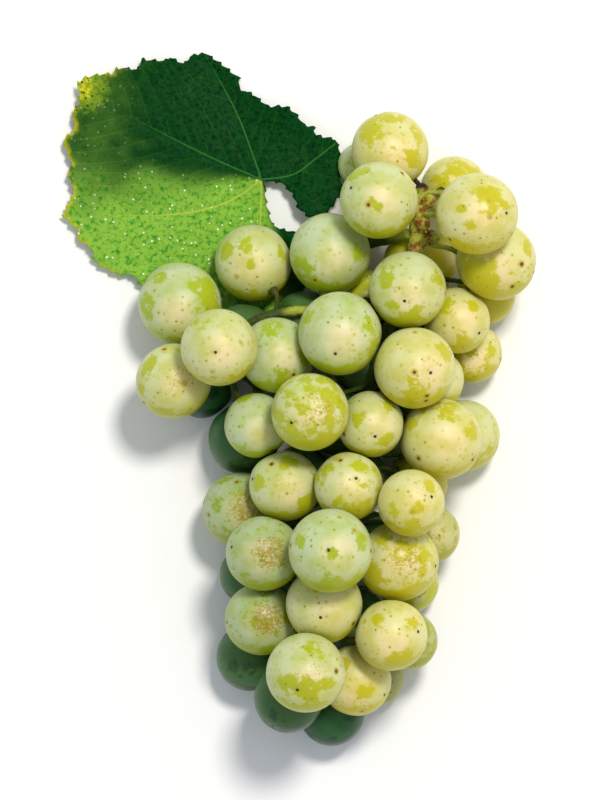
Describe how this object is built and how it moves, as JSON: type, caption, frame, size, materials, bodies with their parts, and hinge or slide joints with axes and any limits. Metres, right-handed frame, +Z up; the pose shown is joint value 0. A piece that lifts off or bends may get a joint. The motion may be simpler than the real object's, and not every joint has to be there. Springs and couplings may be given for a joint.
{
  "type": "bunch of grapes",
  "caption": "A picked bunch of pale green grapes lying on its side, with its branched stalk, a short piece of vine shoot and one lobed vine leaf at the stalk end.",
  "frame": {"origin": "the middle of the footprint, on the surface that the bunch lies on", "axes": "+X across the bunch, +Y from the tip towards the stalk end, +Z up"},
  "size_m": [0.1076, 0.159, 0.0506],
  "materials": {
    "berry_skin": "waxy",
    "stalk_green": "matte",
    "leaf_green": "satin",
    "petiole_red_green": "matte",
    "shoot_bark": "matte"
  },
  "bodies": {
    "root": {"berry_01": "berry_skin", "berry_02": "berry_skin", "berry_03": "berry_skin", "berry_04": "berry_skin", "berry_05": "berry_skin", "berry_06": "berry_skin", "berry_07": "berry_skin", "berry_08": "berry_skin", "berry_09": "berry_skin", "berry_10": "berry_skin", "berry_11": "berry_skin", "berry_12": "berry_skin", "berry_13": "berry_skin", "berry_14": "berry_skin", "berry_15": "berry_skin", "berry_16": "berry_skin", "berry_17": "berry_skin", "berry_18": "berry_skin", "berry_19": "berry_skin", "berry_20": "berry_skin", "berry_21": "berry_skin", "berry_22": "berry_skin", "berry_23": "berry_skin", "berry_24": "berry_skin", "berry_25": "berry_skin", "berry_26": "berry_skin", "berry_27": "berry_skin", "berry_28": "berry_skin", "berry_29": "berry_skin", "berry_30": "berry_skin", "berry_31": "berry_skin", "berry_32": "berry_skin", "berry_33": "berry_skin", "berry_34": "berry_skin", "berry_35": "berry_skin", "berry_36": "berry_skin", "berry_37": "berry_skin", "berry_38": "berry_skin", "berry_39": "berry_skin", "berry_40": "berry_skin", "berry_41": "berry_skin", "berry_42": "berry_skin", "berry_43": "berry_skin", "berry_44": "berry_skin", "berry_45": "berry_skin", "berry_46": "berry_skin", "berry_47": "berry_skin", "berry_48": "berry_skin", "berry_49": "berry_skin", "back_berries_1": "berry_skin", "back_berries_2": "berry_skin", "back_berries_3": "berry_skin", "back_berries_4": "berry_skin", "back_berries_5": "berry_skin", "back_berries_6": "berry_skin", "back_berries_7": "berry_skin", "stalk": "stalk_green", "leaf_blade": "leaf_green", "leaf_petiole": "petiole_red_green", "vine_shoot": "shoot_bark"}
  },
  "joints": []
}
